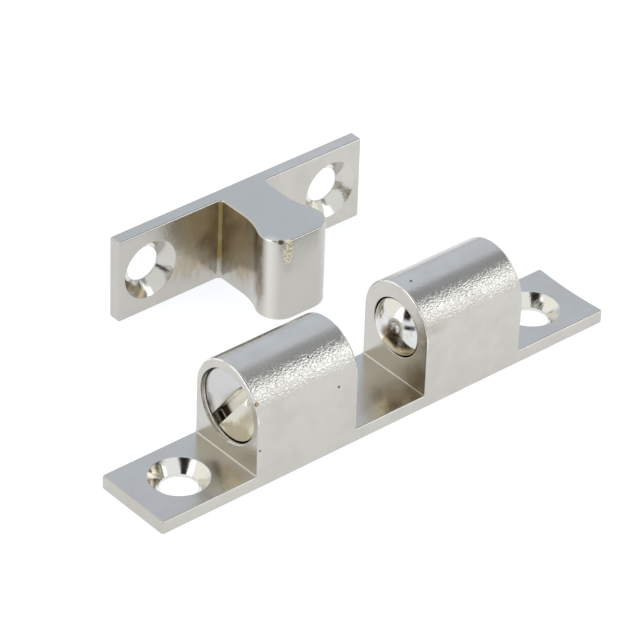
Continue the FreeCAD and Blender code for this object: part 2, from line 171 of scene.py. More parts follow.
def turned(name, profile, centre, direction):
    """A profile of (radius, distance along the axis) turned about an axis through centre."""
    vertices = []
    for radius, along in profile:
        for step in range(ROUND_STEPS):
            angle = math.tau * step / ROUND_STEPS
            offset = direction(radius * math.cos(angle), radius * math.sin(angle), along)
            vertices.append(Vector(centre) + offset)
    faces = []
    for ring in range(len(profile) - 1):
        for step in range(ROUND_STEPS):
            after = (step + 1) % ROUND_STEPS
            first, second = ring * ROUND_STEPS, (ring + 1) * ROUND_STEPS
            faces.append((first + step, first + after, second + after, second + step))
    return object_from(name, vertices, faces)


def as_mesh(piece):
    """The piece with its modifiers applied."""
    graph = bpy.context.evaluated_depsgraph_get()
    mesh = bpy.data.meshes.new_from_object(piece.evaluated_get(graph))
    piece.modifiers.clear()
    piece.data = mesh


def combine(piece, other, operation):
    """Cuts the other shape away from the piece or joins it to it; the other is used up."""
    modifier = piece.modifiers.new("combine", "BOOLEAN")
    modifier.operation = operation
    modifier.solver = "EXACT"
    modifier.object = other
    as_mesh(piece)
    bpy.data.objects.remove(other)


def round_edges(piece, radius, segments, chosen):
    """Rounds the sharp edges that pass the test, which is given an edge's two ends."""
    shape = bmesh.new()
    shape.from_mesh(piece.data)
    bmesh.ops.remove_doubles(shape, verts=shape.verts, dist=1e-4)
    sharp = [
        edge
        for edge in shape.edges
        if len(edge.link_faces) == 2
        and edge.calc_face_angle() > SHARP_EDGE
        and chosen(*(vertex.co for vertex in edge.verts))
    ]
    bmesh.ops.bevel(
        shape, geom=sharp, offset=radius, segments=segments, profile=0.5, affect="EDGES",
        clamp_overlap=True,
    )
    shape.to_mesh(piece.data)
    shape.free()


def body_shape(tree):
    """A bar of arched section, milled away around two barrels, then bored and countersunk."""
    half = PLATE_WIDTH / 2
    end = PLATE_LENGTH / 2
    above = ARCH_HEIGHT + half + BEYOND
    section = [(-half, 0), (half, 0), *arc(0, ARCH_HEIGHT, half, 0, 180, ROUND_STEPS // 2)]
    body = prism("nickel_body", section, -end, end, across_x)
    foot = PLATE_THICKNESS + FOOT_RADIUS
    gap = [
        (INNER_FACE, above),
        (-INNER_FACE, above),
        *arc(-INNER_FACE + FOOT_RADIUS, foot, FOOT_RADIUS, 180, 270, 5),
        *arc(INNER_FACE - FOOT_RADIUS, foot, FOOT_RADIUS, 270, 360, 5),
    ]
    combine(body, prism("gap", gap, -half - BEYOND, half + BEYOND, across_y), "DIFFERENCE")
    for sign in (-1, 1):
        step = [
            *((sign * u, v) for u, v in arc(OUTER_FACE + FOOT_RADIUS, foot, FOOT_RADIUS, 180, 270, 5)),
            (sign * (end + BEYOND), PLATE_THICKNESS),
            (sign * (end + BEYOND), above),
            (sign * OUTER_FACE, above),
        ]
        combine(body, prism("step", step, -half - BEYOND, half + BEYOND, across_y), "DIFFERENCE")
    radius = (half**2 + END_HOLLOW**2) / (2 * END_HOLLOW)
    turn = math.degrees(math.asin(half / radius))
    hollow = [
        *arc(end - END_HOLLOW + radius, 0, radius, 180 + turn, 180 - turn, 16),
        (end + BEYOND, half + BEYOND),
        (end + BEYOND, -half - BEYOND),
    ]
    combine(body, prism("hollow", hollow, -BEYOND, above, across_z), "DIFFERENCE")

    def at_plate_corner(a, b):
        upright = abs(a.z - b.z) > PLATE_THICKNESS / 2
        return upright and abs(a.x) > end - TOUCHING and abs(b.x) > end - TOUCHING

    round_edges(body, CORNER_RADIUS, 4, at_plate_corner)
    round_edges(body, EDGE_ROUNDING, 3, lambda a, b: True)
    for sign in (-1, 1):
        bore = [
            (0, sign * (INNER_FACE - BEYOND)),
            (ROLLED_RADIUS, sign * (INNER_FACE - BEYOND)),
            (ROLLED_RADIUS, sign * INNER_FACE),
            (MOUTH_RADIUS, sign * LIP_INSIDE),
            (BORE_RADIUS, sign * LIP_INSIDE),
            (BORE_RADIUS, sign * (OUTER_FACE + BEYOND)),
            (0, sign * (OUTER_FACE + BEYOND)),
        ]
        combine(body, turned("bore", bore, (0, 0, BORE_HEIGHT), across_x), "DIFFERENCE")
        sink = (BODY_COUNTERSINK - HOLE_DIAMETER) / 2
        hole = [
            (0, -BEYOND),
            (HOLE_DIAMETER / 2, -BEYOND),
            (HOLE_DIAMETER / 2, PLATE_THICKNESS - sink),
            (BODY_COUNTERSINK / 2 + BEYOND, PLATE_THICKNESS + BEYOND),
            (0, PLATE_THICKNESS + BEYOND),
        ]
        combine(body, turned("hole", hole, (sign * BODY_HOLE_X, 0, 0), across_z), "DIFFERENCE")

    def at_bore_end(a, b):
        return all(
            abs(abs(point.x) - OUTER_FACE) < TOUCHING
            and math.hypot(point.y, point.z - BORE_HEIGHT) < BORE_RADIUS + BESIDE
            for point in (a, b)
        )

    def at_mouth(a, b):
        return all(
            abs(abs(point.x) - INNER_FACE) < TOUCHING
            and math.hypot(point.y, point.z - BORE_HEIGHT) < ROLLED_RADIUS + BESIDE
            for point in (a, b)
        )

    def at_hole(a, b):
        return all(
            math.hypot(abs(point.x) - BODY_HOLE_X, point.y) < BODY_COUNTERSINK / 2 + BESIDE
            for point in (a, b)
        )

    round_edges(body, BORE_ROUNDING, 2, at_bore_end)
    round_edges(body, MOUTH_ROUNDING, 3, at_mouth)
    round_edges(body, HOLE_ROUNDING, 2, at_hole)
    for sign in (-1, 1):
        combine(body, thread(tree, sign), "DIFFERENCE")
    return body


def strike_shape():
    """A countersunk plate that stands on its long edge, with a flared tongue."""
    half = STRIKE_LENGTH / 2
    neck = NECK_WIDTH / 2
    nose_x = TONGUE_WIDTH / 2 - NOSE_RADIUS
    nose_y = -TONGUE_REACH + NOSE_RADIUS
    flare_x = neck + FLARE_RADIUS
    reach = FLARE_RADIUS + NOSE_RADIUS
    flare_y = nose_y + math.sqrt(reach**2 - (flare_x - nose_x) ** 2)
    turn = math.degrees(math.asin((flare_y - nose_y) / reach))
    root_y = -STRIKE_THICKNESS - ROOT_RADIUS
    right_side = [
        *arc(nose_x, nose_y, NOSE_RADIUS, 270, 360 + turn, 20),
        *arc(flare_x, flare_y, FLARE_RADIUS, 180 + turn, 180, 14),
        *arc(neck + ROOT_RADIUS, root_y, ROOT_RADIUS, 180, 90, 6),
        (half, -STRIKE_THICKNESS),
        (half, 0),
    ]
    left_side = [(-x, y) for x, y in reversed(right_side)]
    strike = prism("nickel_strike", right_side + left_side, 0, STRIKE_HEIGHT, across_z)
    round_edges(strike, EDGE_ROUNDING, 3, lambda a, b: True)
    sink = (STRIKE_COUNTERSINK - HOLE_DIAMETER) / 2
    hole = [
        (0, BEYOND),
        (HOLE_DIAMETER / 2, BEYOND),
        (HOLE_DIAMETER / 2, -STRIKE_THICKNESS + sink),
        (STRIKE_COUNTERSINK / 2 + BEYOND, -STRIKE_THICKNESS - BEYOND),
        (0, -STRIKE_THICKNESS - BEYOND),
    ]
    for sign in (-1, 1):
        centre = (sign * STRIKE_HOLE_X, 0, STRIKE_HEIGHT / 2)
        combine(strike, turned("hole", hole, centre, across_y), "DIFFERENCE")

    def at_hole(a, b):
        return all(
            math.hypot(abs(point.x) - STRIKE_HOLE_X, point.z - STRIKE_HEIGHT / 2)
            < STRIKE_COUNTERSINK / 2 + BESIDE
            for point in (a, b)
        )

    round_edges(strike, HOLE_ROUNDING, 2, at_hole)
    strike.data.transform(Matrix.Translation(STRIKE_PLACE))
    return strike


def ball_shape(side, sign):
    shape = bmesh.new()
    bmesh.ops.create_icosphere(shape, subdivisions=5, radius=BALL_DIAMETER / 2)
    mesh = bpy.data.meshes.new("steel_ball_" + side)
    shape.to_mesh(mesh)
    shape.free()
    mesh.transform(Matrix.Translation((sign * BALL_CENTRE, 0, BORE_HEIGHT)))
    return new_object(mesh.name, mesh)


def screw_shape(tree, side, sign):
    """A round plug with a driver slot across its face."""
    back = SCREW_FACE - SCREW_THICKNESS
    profile = [
        (0, sign * back),
        (SCREW_RADIUS, sign * back),
        (SCREW_RADIUS, sign * SCREW_FACE),
        (0, sign * SCREW_FACE),
    ]
    screw = turned("turned_screw_" + side, profile, (0, 0, 0), across_x)
    round_edges(screw, SCREW_ROUNDING, 2, lambda a, b: True)
    half = SLOT_WIDTH / 2
    slot = [(-SLOT_REACH, -half), (SLOT_REACH, -half), (SLOT_REACH, half), (-SLOT_REACH, half)]
    depths = (sign * (SCREW_FACE - SLOT_DEPTH), sign * (SCREW_FACE + BEYOND))
    combine(screw, prism("slot", slot, min(depths), max(depths), across_x), "DIFFERENCE")

    def at_slot(a, b):
        return all(
            abs(point.z) < half + TOUCHING
            and abs(point.x) > SCREW_FACE - SCREW_ROUNDING - BESIDE
            for point in (a, b)
        )

    round_edges(screw, SLOT_ROUNDING, 2, at_slot)
    tilt = Matrix.Rotation(math.radians(90 + SLOT_TILT[side]), 4, "X")
    screw.data.transform(Matrix.Translation((0, 0, BORE_HEIGHT)) @ tilt)
    combine(screw, thread(tree, sign), "DIFFERENCE")
    return screw


def spring_part(tree, name, sign, material, first, last):
    """A spring's wire from the first to the last share of its length, from the ball's end."""
    sizes = {
        "Length": SPRING_END - SPRING_START,
        "Coil radius": COIL_RADIUS,
        "Wire radius": WIRE_RADIUS,
        "Wire sides": WIRE_SIDES,
        "Closed pitch": CLOSED_COIL_PITCH,
        "Open coils": float(OPEN_COILS),
        "First share": first,
        "Last share": last,
        "Material": material,
    }
    spring = coiled(name, tree, **sizes)
    outwards = Matrix.Rotation(math.radians(sign * 90), 4, "Y")
    spring.data.transform(Matrix.Translation((sign * SPRING_START, 0, BORE_HEIGHT)) @ outwards)
    return spring


def add(tree, kind, inputs=(), **settings):
    """Adds a node. Each input is given a number, a colour or the output that feeds it."""
    node = tree.nodes.new(kind)
    for key, value in settings.items():
        setattr(node, key, value)
    for name, value in dict(inputs).items():
        if isinstance(value, bpy.types.NodeSocket):
            tree.links.new(value, node.inputs[name])
        else:
            node.inputs[name].default_value = value
    return node


def calculate(tree, operation, *values):
    return add(tree, "ShaderNodeMath", enumerate(values), operation=operation).outputs[0]


def x_y_z(tree, place):
    return add(tree, "ShaderNodeSeparateXYZ", {0: place}).outputs


def coil_tree():
    """Sweeps a wire along a coil whose first and last turns are closed, and cuts the ends flat."""
    tree = bpy.data.node_groups.new("coil", "GeometryNodeTree")
    tree.is_modifier = True
    for name, kind in (
        ("Length", "NodeSocketFloat"),
        ("Coil radius", "NodeSocketFloat"),
        ("Wire radius", "NodeSocketFloat"),
        ("Wire sides", "NodeSocketInt"),
        ("Closed pitch", "NodeSocketFloat"),
        ("Open coils", "NodeSocketFloat"),
        ("First share", "NodeSocketFloat"),
        ("Last share", "NodeSocketFloat"),
        ("Material", "NodeSocketMaterial"),
    ):
        tree.interface.new_socket(name, in_out="INPUT", socket_type=kind)
    tree.interface.new_socket("Coil", in_out="OUTPUT", socket_type="NodeSocketGeometry")
    given = tree.nodes.new("NodeGroupInput").outputs
    coils = calculate(tree, "ADD", given["Open coils"], CLOSED_COILS)
    path = add(tree, "GeometryNodeCurvePrimitiveLine")
    steps = calculate(tree, "MULTIPLY", coils, COIL_STEPS)
    points = add(tree, "GeometryNodeResampleCurve", {"Curve": path.outputs[0], "Count": steps})
    along = add(tree, "GeometryNodeSplineParameter").outputs["Factor"]
    turns = calculate(tree, "MULTIPLY", along, coils)
    angle = calculate(tree, "MULTIPLY", turns, math.tau)
    last = calculate(tree, "ADD", given["Open coils"], 1)
    closed_length = calculate(tree, "MULTIPLY", given["Closed pitch"], CLOSED_COILS)
    open_length = calculate(tree, "SUBTRACT", given["Length"], closed_length)
    height = 0
    for first, after, rise in (
        (0, 1, given["Closed pitch"]),
        (1, last, open_length),
        (last, coils, given["Closed pitch"]),
    ):
        part = add(
            tree,
            "ShaderNodeMapRange",
            {"Value": turns, "From Min": first, "From Max": after, "To Min": 0, "To Max": rise},
        )
        height = calculate(tree, "ADD", height, part.outputs[0])
    x = calculate(tree, "MULTIPLY", given["Coil radius"], calculate(tree, "COSINE", angle))
    y = calculate(tree, "MULTIPLY", given["Coil radius"], calculate(tree, "SINE", angle))
    place = add(tree, "ShaderNodeCombineXYZ", {"X": x, "Y": y, "Z": height})
    coil = add(
        tree, "GeometryNodeSetPosition", {"Geometry": points.outputs[0], "Position": place.outputs[0]}
    )
    kept = add(
        tree,
        "GeometryNodeTrimCurve",
        {"Curve": coil.outputs[0], "Start": given["First share"], "End": given["Last share"]},
    )
    level = add(tree, "GeometryNodeSetCurveNormal", {"Curve": kept.outputs[0]}, mode="Z_UP")
    wire = add(
        tree,
        "GeometryNodeCurvePrimitiveCircle",
        {"Resolution": given["Wire sides"], "Radius": given["Wire radius"]},
    )
    swept = add(
        tree,
        "GeometryNodeCurveToMesh",
        {"Curve": level.outputs[0], "Profile Curve": wire.outputs[0], "Fill Caps": True},
    )
    x, y, z = x_y_z(tree, add(tree, "GeometryNodeInputPosition").outputs[0])
    ground = calculate(tree, "MINIMUM", given["Length"], calculate(tree, "MAXIMUM", z, 0))
    flat = add(tree, "ShaderNodeCombineXYZ", {"X": x, "Y": y, "Z": ground})
    cut = add(
        tree, "GeometryNodeSetPosition", {"Geometry": swept.outputs[0], "Position": flat.outputs[0]}
    )
    real = add(tree, "GeometryNodeRealizeInstances", {"Geometry": cut.outputs[0]})
    finished = add(
        tree,
        "GeometryNodeSetMaterial",
        {"Geometry": real.outputs[0], "Material": given["Material"]},
    )
    add(tree, "NodeGroupOutput", {"Coil": finished.outputs[0]})
    return tree


def coiled(name, tree, **sizes):
    """A coil along +Z from the origin, made by the tree from its named inputs."""
    piece = new_object(name, bpy.data.meshes.new(name))
    modifier = piece.modifiers.new("coil", "NODES")
    modifier.node_group = tree
    for socket in tree.interface.items_tree:
        if socket.in_out == "INPUT" and socket.name in sizes:
            modifier[socket.identifier] = sizes[socket.name]
    as_mesh(piece)
    return piece


def thread(tree, sign):
    """The V of a right-hand thread round a bore, from its outer end inwards, as a coil of
    that section."""
    sizes = {
        "Length": (THREAD_TURNS + CLOSED_COILS) * THREAD_PITCH,
        "Coil radius": BORE_RADIUS - THREAD_INSET,
        "Wire radius": THREAD_DEPTH,
        "Wire sides": 4,
        "Closed pitch": THREAD_PITCH,
        "Open coils": float(THREAD_TURNS),
        "First share": 0.0,
        "Last share": 1.0,
    }
    piece = coiled("thread", tree, **sizes)
    inwards = Matrix.Rotation(math.radians(-sign * 90), 4, "Y")
    start = (sign * (OUTER_FACE + THREAD_PITCH), 0, BORE_HEIGHT)
    piece.data.transform(Matrix.Translation(start) @ inwards)
    return piece


def blend(tree, share, first, second):
    """The first colour where share is 0 and the second where it is 1."""
    return add(
        tree, "ShaderNodeMix", {0: share, 6: first, 7: second}, data_type="RGBA"
    ).outputs[2]


def between(tree, value, low, high, start=0, end=1):
    """Runs smoothly from start to end as the value goes from low to high."""
    inputs = {"Value": value, "From Min": low, "From Max": high, "To Min": start, "To Max": end}
    return add(tree, "ShaderNodeMapRange", inputs, interpolation_type="SMOOTHSTEP").outputs[0]


def scaled(tree, place, axes):
    """The place with its axes multiplied, by 0 for an axis that doesn't count."""
    return add(tree, "ShaderNodeVectorMath", {0: place, 1: axes}, operation="MULTIPLY").outputs[0]


def grain(tree, place, scale, detail=2, stretch=(1, 1, 1)):
    """Noise with about so many grains in a millimetre along each axis."""
    sized = scaled(tree, place, stretch)
    inputs = {"Vector": sized, "Scale": scale, "Detail": detail, "Roughness": 0.6}
    return add(tree, "ShaderNodeTexNoise", inputs).outputs[0]


def product(tree, *shares):
    """All the shares multiplied."""
    result = shares[0]
    for share in shares[1:]:
        result = calculate(tree, "MULTIPLY", result, share)
    return result


def length(tree, vector):
    return add(tree, "ShaderNodeVectorMath", {0: vector}, operation="LENGTH").outputs["Value"]


def spot(tree, place, centre, radius, solid=0.5):
    """1 at a point on the piece, in millimetres, out to the solid share of radius, then 0."""
    away = add(tree, "ShaderNodeVectorMath", {0: place, 1: centre}, operation="DISTANCE")
    return between(tree, away.outputs["Value"], solid * radius, radius, 1, 0)


def new_finish(name):
    """A material, its shader and the place on the piece in millimetres."""
    material = bpy.data.materials.new(name)
    material.use_nodes = True
    tree = material.node_tree
    shader = tree.nodes["Principled BSDF"]
    shader.inputs["Metallic"].default_value = 1
    object_place = add(tree, "ShaderNodeTexCoord").outputs["Object"]
    place = add(
        tree, "ShaderNodeVectorMath", {0: object_place, "Scale": 1000}, operation="SCALE"
    )
    return material, tree, shader, place.outputs[0]


def set_bump(tree, shader, height, micrometres):
    """Raises the surface by so many micrometres where the height is 1."""
    bump = add(tree, "ShaderNodeBump", {"Height": height, "Distance": micrometres * 1e-6})
    tree.links.new(bump.outputs[0], shader.inputs["Normal"])


# Colours of the metals and of what lies on them, and of the painted shade, highlights and reflections
# on them
NICKEL = (0.59, 0.568, 0.52, 1)
DULL_NICKEL = (0.555, 0.53, 0.482, 1)
# Painted shade on the plate
PLATE_PAINTED_SHADE = (0.47, 0.45, 0.41, 1)
STRIKE_NICKEL = (0.505, 0.489, 0.452, 1)
# Painted highlight on the left of the strike's nose
PAINTED_HIGHLIGHT_NICKEL = (0.68, 0.66, 0.615, 1)
CUT_NICKEL = (0.86, 0.85, 0.81, 1)
# Painted highlight on the barrels' arched edges
PAINTED_EDGE_HIGHLIGHT = (0.85, 0.84, 0.81, 1)
# Painted shade and brown reflection at the feet
PAINTED_FOOT_SHADE = (0.27, 0.22, 0.14, 1)
# Brass at a nick on the body, and painted shade in the strike's corner
BRASS_NICK_AND_PAINTED_SHADE = (0.38, 0.31, 0.19, 1)
# Painted shade and dark reflection in the strike's corner
PAINTED_DARK_SHADE = (0.17, 0.125, 0.075, 1)
# Painted gold reflection down the rounding of the strike's corner
PAINTED_GOLD_REFLECTION = (0.21, 0.155, 0.05, 1)
# Painted gold glints on the strike's nose
PAINTED_GOLD_GLINTS = (0.95, 0.82, 0.5, 1)
# Oil and painted shade in the bores
OIL_AND_PAINTED_SHADE = (0.09, 0.07, 0.05, 1)
PIT = (0.10, 0.09, 0.07, 1)
BALL_STEEL = (0.72, 0.705, 0.68, 1)
DULL_STEEL = (0.6, 0.57, 0.52, 1)
# Painted brown reflection on the ball
PAINTED_BROWN_REFLECTION = (0.15, 0.085, 0.035, 1)
# Painted cream reflection on the ball
PAINTED_CREAM_REFLECTION = (0.99, 0.89, 0.68, 1)
SCREW_NICKEL = (0.585, 0.577, 0.555, 1)
WARM_NICKEL = (0.72, 0.665, 0.53, 1)
CLEAN_SLOT = (0.98, 0.95, 0.85, 1)
# Painted shade towards the ends of the screw slots
PAINTED_SLOT_SHADE = (0.07, 0.045, 0.02, 1)
SPRING_STEEL = (0.42, 0.42, 0.43, 1)
OILY_STEEL = (0.27, 0.26, 0.25, 1)

# The plating's relief: its height, and the shares of it that go to peel, brushing and pits
RELIEF_MICROMETRES = 100
FINE_PEEL = 0.1
COARSE_PEEL = 0.7
BRUSHING = 0.03
PIT_DEPTH = 0.3

# The noise values between which the plating clouds over, its roughness at both, and the
# share of that which is left where the peel is coarse
CLOUDS = (0.35, 0.7)
SATIN = (0.2, 0.26)
COARSE_GLOSS = 0.72

# Places on the pieces in millimetres, some with their reach and then their strength or colour
BODY_MARKS = (
    ((-7.31, -4.95, 8.12), 0.2, PIT),
    ((-17.57, -4.95, 4.77), 0.18, PIT),
    ((6.27, -0.20, 12.80), 0.2, PIT),
    ((-9.85, -2.94, 11.83), 0.16, PIT),
    ((-17.65, -4.3, 10.2), 0.34, BRASS_NICK_AND_PAINTED_SHADE),
)
STRIKE_MARKS = (((2.83, 16.47, 10.1), 0.4, PIT),)
# Painted shade and brown reflection beside the body's feet: centre, reach and strength
FOOT_SHADE_SPOTS = (
    ((-20.2, -2.5, PLATE_THICKNESS), 2.8, 0.5),
    ((2.2, -3.6, PLATE_THICKNESS), 5.6, 0.78),
    ((INNER_FACE, -4.2, 3.2), 3.6, 0.6),
    ((INNER_FACE, -4.9, 7.6), 3.6, 0.45),
)
# Painted brown reflections on the right ball: centre, reach and strength
BALL_BROWN_REFLECTIONS = (
    ((3.2, -0.6, 7.5), 1.5, 0.85),
    ((3.4, -0.8, 6.6), 1.2, 0.95),
    ((4.1, -2.1, 5.9), 0.7, 0.6),
)
# Painted cream reflections below them
BALL_CREAM_REFLECTIONS = ((3.55, 0.1, 5.9), (4.25, -0.6, 4.9), (4.45, -2.2, 5.55))
BALL_CREAM_REACH = 1.6
SHOULDER = (0, -3.8, 11.0)
SHOULDER_REACH = 2.9
# The nose's patch of coarse peel and painted gold glints
GLINT_PATCH = Vector((3.55, 16.1, 9))
GLINT_REACH = 1.5
STRIKE_CORNER = Vector((STRIKE_PLACE.x - NECK_WIDTH / 2, STRIKE_PLACE.y - STRIKE_THICKNESS, 0))
# The strike's corner: painted shade and dark reflections, a painted gold reflection line, and a painted
# highlight strip on the nose
NECK_STRIPE = (1.75, 18.9, 0)
CORNER_SHADE_SPOT = (0.9, 26.5, 5.6)
CORNER_REFLECTION_LINE = (2.68, 26.4, 0)
NOSE_HIGHLIGHT_STRIP = (2.12, 17.31, 0)
NOSE_HIGHLIGHT_REACH = 1.3
SCREW_WARM_SIDE = (0, -0.6, -0.8)


def orange_peel(tree, place):
    return grain(tree, place, 5.4, 1, (0.6, 1, 1))


def nickel(name, sinks, sink_radius, sink_plane, cut_share, coarse_share, marks, colouring):
    """Satin nickel plating over a cast surface, with orange peel, faint brushing and clouds.
    Sinks are the countersinks' centres in the plane across them. They are smoother, and the
    cut metal shows there by cut_share. Coarse_share says where the peel is coarse. Marks are
    places, reaches and colours of pits and nicks."""
    material, tree, shader, place = new_finish(name)
    brushing = grain(tree, place, 4, 1, (2.2, 2.2, 0.12))
    clouds = grain(tree, place, 0.3, 3)
    coarse = coarse_share(tree, place)
    colour = colouring(tree, place, blend(tree, between(tree, clouds, *CLOUDS), NICKEL, DULL_NICKEL))
    peel = between(tree, coarse, 0, 1, FINE_PEEL, COARSE_PEEL)
    height = product(tree, orange_peel(tree, place), peel)
    height = calculate(tree, "MULTIPLY_ADD", brushing, BRUSHING, height)
    gloss = between(tree, coarse, 0, 1, 1, COARSE_GLOSS)
    roughness = product(tree, between(tree, clouds, *CLOUDS, *SATIN), gloss)
    flat = scaled(tree, place, sink_plane)
    for centre in sinks:
        sink = spot(tree, flat, centre, sink_radius, 0.98)
        height = product(tree, height, between(tree, sink, 0, 1, 1, 0.6))
        colour = blend(tree, product(tree, sink, cut_share), colour, CUT_NICKEL)
        roughness = calculate(tree, "SUBTRACT", roughness, product(tree, sink, 0.1))
    for centre, radius, tone in marks:
        mark = spot(tree, place, centre, radius)
        colour = blend(tree, mark, colour, tone)
        height = calculate(tree, "SUBTRACT", height, product(tree, mark, PIT_DEPTH))
    tree.links.new(colour, shader.inputs["Base Color"])
    tree.links.new(roughness, shader.inputs["Roughness"])
    set_bump(tree, shader, height, RELIEF_MICROMETRES)
    return material


def front_shoulders(tree, place):
    """1 on the barrels' shoulders above the body's front, away from their end faces."""
    x = calculate(tree, "ABSOLUTE", x_y_z(tree, place)[0])
    shoulder = spot(tree, scaled(tree, place, (0, 1, 1)), SHOULDER, SHOULDER_REACH, 0.3)
    past_inner = between(tree, x, INNER_FACE + 0.05, INNER_FACE + 0.3)
    short_of_outer = between(tree, x, OUTER_FACE - 0.3, OUTER_FACE - 0.05, 1, 0)
    return product(tree, shoulder, past_inner, short_of_outer)


def nose_patch(tree, place):
    """1 on an upright patch below the top edge of the tongue's nose."""
    upright = Vector((2, 2, 0.7))
    return spot(tree, scaled(tree, place, upright), GLINT_PATCH * upright, GLINT_REACH, 0.3)


def bore_oil_and_shade(tree, place, colour):
    """The bores' walls, with the threads and the lips round the balls, are dark: partly oil, partly
    painted shade of the deep bores.
    """
    x = calculate(tree, "ABSOLUTE", x_y_z(tree, place)[0])
    axis = (0, 0, BORE_HEIGHT)
    wall = spot(tree, scaled(tree, place, (0, 1, 1)), axis, BORE_RADIUS + 0.4, 0.97)
    behind_screw = between(tree, x, SCREW_FACE - 0.15, SCREW_FACE + 0.03, 1, 0)
    behind_lip = between(tree, x, INNER_FACE + 0.05, INNER_FACE + 0.15)
    return blend(tree, product(tree, wall, behind_screw, behind_lip, 0.85), colour, OIL_AND_PAINTED_SHADE)


def painted_foot_shade(tree, place, colour):
    """The plate is painted darker than the barrels as painted shade, and mottled brown painted shade
    and reflection lie on it and on the right barrel's inner face beside their corners. The body's front
    is left unpainted."""
    _, y, z = x_y_z(tree, place)
    front = -PLATE_WIDTH / 2
    behind_front = between(tree, y, front + 0.06, front + 0.2)
    plate = between(tree, z, PLATE_THICKNESS + 0.1, PLATE_THICKNESS + 0.4, 0.4, 0)
    # Painted shade: the plate's top and ends are painted darker
    colour = blend(tree, product(tree, plate, behind_front), colour, PLATE_PAINTED_SHADE)
    mottle = between(tree, grain(tree, place, 0.6, 3), 0.33, 0.65, 0.5, 1)
    # Mottled brown painted shade and reflection beside the feet
    for centre, radius, strength in FOOT_SHADE_SPOTS:
        share = product(tree, spot(tree, place, centre, radius, 0.15), mottle, behind_front, strength)
        colour = blend(tree, share, colour, PAINTED_FOOT_SHADE)
    return colour


def painted_arch_highlights(tree, place, colour):
    """Painted highlights: the arched edges of the barrels' ends are painted bright here and there."""
    x, y, z = x_y_z(tree, place)
    x = calculate(tree, "ABSOLUTE", x)
    above = calculate(tree, "MAXIMUM", calculate(tree, "SUBTRACT", z, ARCH_HEIGHT), 0)
    reach = length(tree, add(tree, "ShaderNodeCombineXYZ", {0: y, 1: above}).outputs[0])
    outside = between(tree, reach, PLATE_WIDTH / 2 - 0.18, PLATE_WIDTH / 2 - 0.1)
    upper = between(tree, z, ARCH_HEIGHT - 1.5, ARCH_HEIGHT + 1)
    uneven = between(tree, grain(tree, place, 0.8, 3), 0.35, 0.6)
    for face in (INNER_FACE, OUTER_FACE):
        away = calculate(tree, "ABSOLUTE", calculate(tree, "SUBTRACT", x, face))
        share = product(tree, outside, upper, uneven, between(tree, away, 0.1, 0.18, 1, 0))
        colour = blend(tree, share, colour, PAINTED_EDGE_HIGHLIGHT)
    return colour


def body_colouring(tree, place, colour):
    # Oil and painted shade in the bores, painted shade on the plate and feet, and painted highlights on
    # the arched edges
    colour = bore_oil_and_shade(tree, place, colour)
    colour = painted_foot_shade(tree, place, colour)
    return painted_arch_highlights(tree, place, colour)


def strike_colouring(tree, place, colour):
    """The strike is darker on its left. Its left inner corner holds painted shade and dark reflections,
    above a foot left unpainted, and its nose a painted highlight strip and painted gold glints."""
    x, y, z = x_y_z(tree, place)
    colour = blend(tree, between(tree, x, 8, 12, 0.75, 0.1), colour, STRIKE_NICKEL)
    corner = STRIKE_CORNER
    flat = scaled(tree, place, (1, 1, 0))
    mottle = grain(tree, place, 0.9, 4, (1.6, 1.6, 0.7))
    uneven_z = calculate(tree, "MULTIPLY_ADD", mottle, 3.5, z)
    limits = product(
        tree,
        between(tree, mottle, 0.2, 0.6, 0.55, 1),
        between(tree, y, corner.y - 0.05, corner.y + 0.15, 1, 0),
        between(tree, z, STRIKE_HEIGHT - 0.3, STRIKE_HEIGHT - 0.1, 1, 0),
        between(tree, x, corner.x + 1.4, corner.x + 2.6, 1, 0),
        between(tree, uneven_z, 2.4, 5.4),
    )
    # Painted shade and dark reflections in the left inner corner and on the tongue's left flank, and a
    # painted gold reflection line down the corner's rounding
    for where, centre, radius, solid, strength, painted_colour in (
        (flat, corner, 9, 0.4, 0.9, BRASS_NICK_AND_PAINTED_SHADE),
        (flat, corner, 2.6, 0.1, 0.55, PAINTED_DARK_SHADE),
        (flat, NECK_STRIPE, 2.2, 0.2, 0.9, PAINTED_DARK_SHADE),
        (place, CORNER_SHADE_SPOT, 1.7, 0.1, 0.75, PAINTED_DARK_SHADE),
        (flat, CORNER_REFLECTION_LINE, 0.34, 0.5, 0.95, PAINTED_GOLD_REFLECTION),
    ):
        share = product(tree, spot(tree, where, centre, radius, solid), limits, strength)
        colour = blend(tree, share, colour, painted_colour)
    # Painted highlight: a soft bright strip down the left side of the nose
    colour = blend(tree, spot(tree, flat, NOSE_HIGHLIGHT_STRIP, NOSE_HIGHLIGHT_REACH, 0), colour, PAINTED_HIGHLIGHT_NICKEL)
    # Painted highlight: gold glints on the nose where the peel stands high
    painted_glints = between(tree, orange_peel(tree, place), 0.46, 0.56)
    return blend(tree, product(tree, nose_patch(tree, place), painted_glints), colour, PAINTED_GOLD_GLINTS)


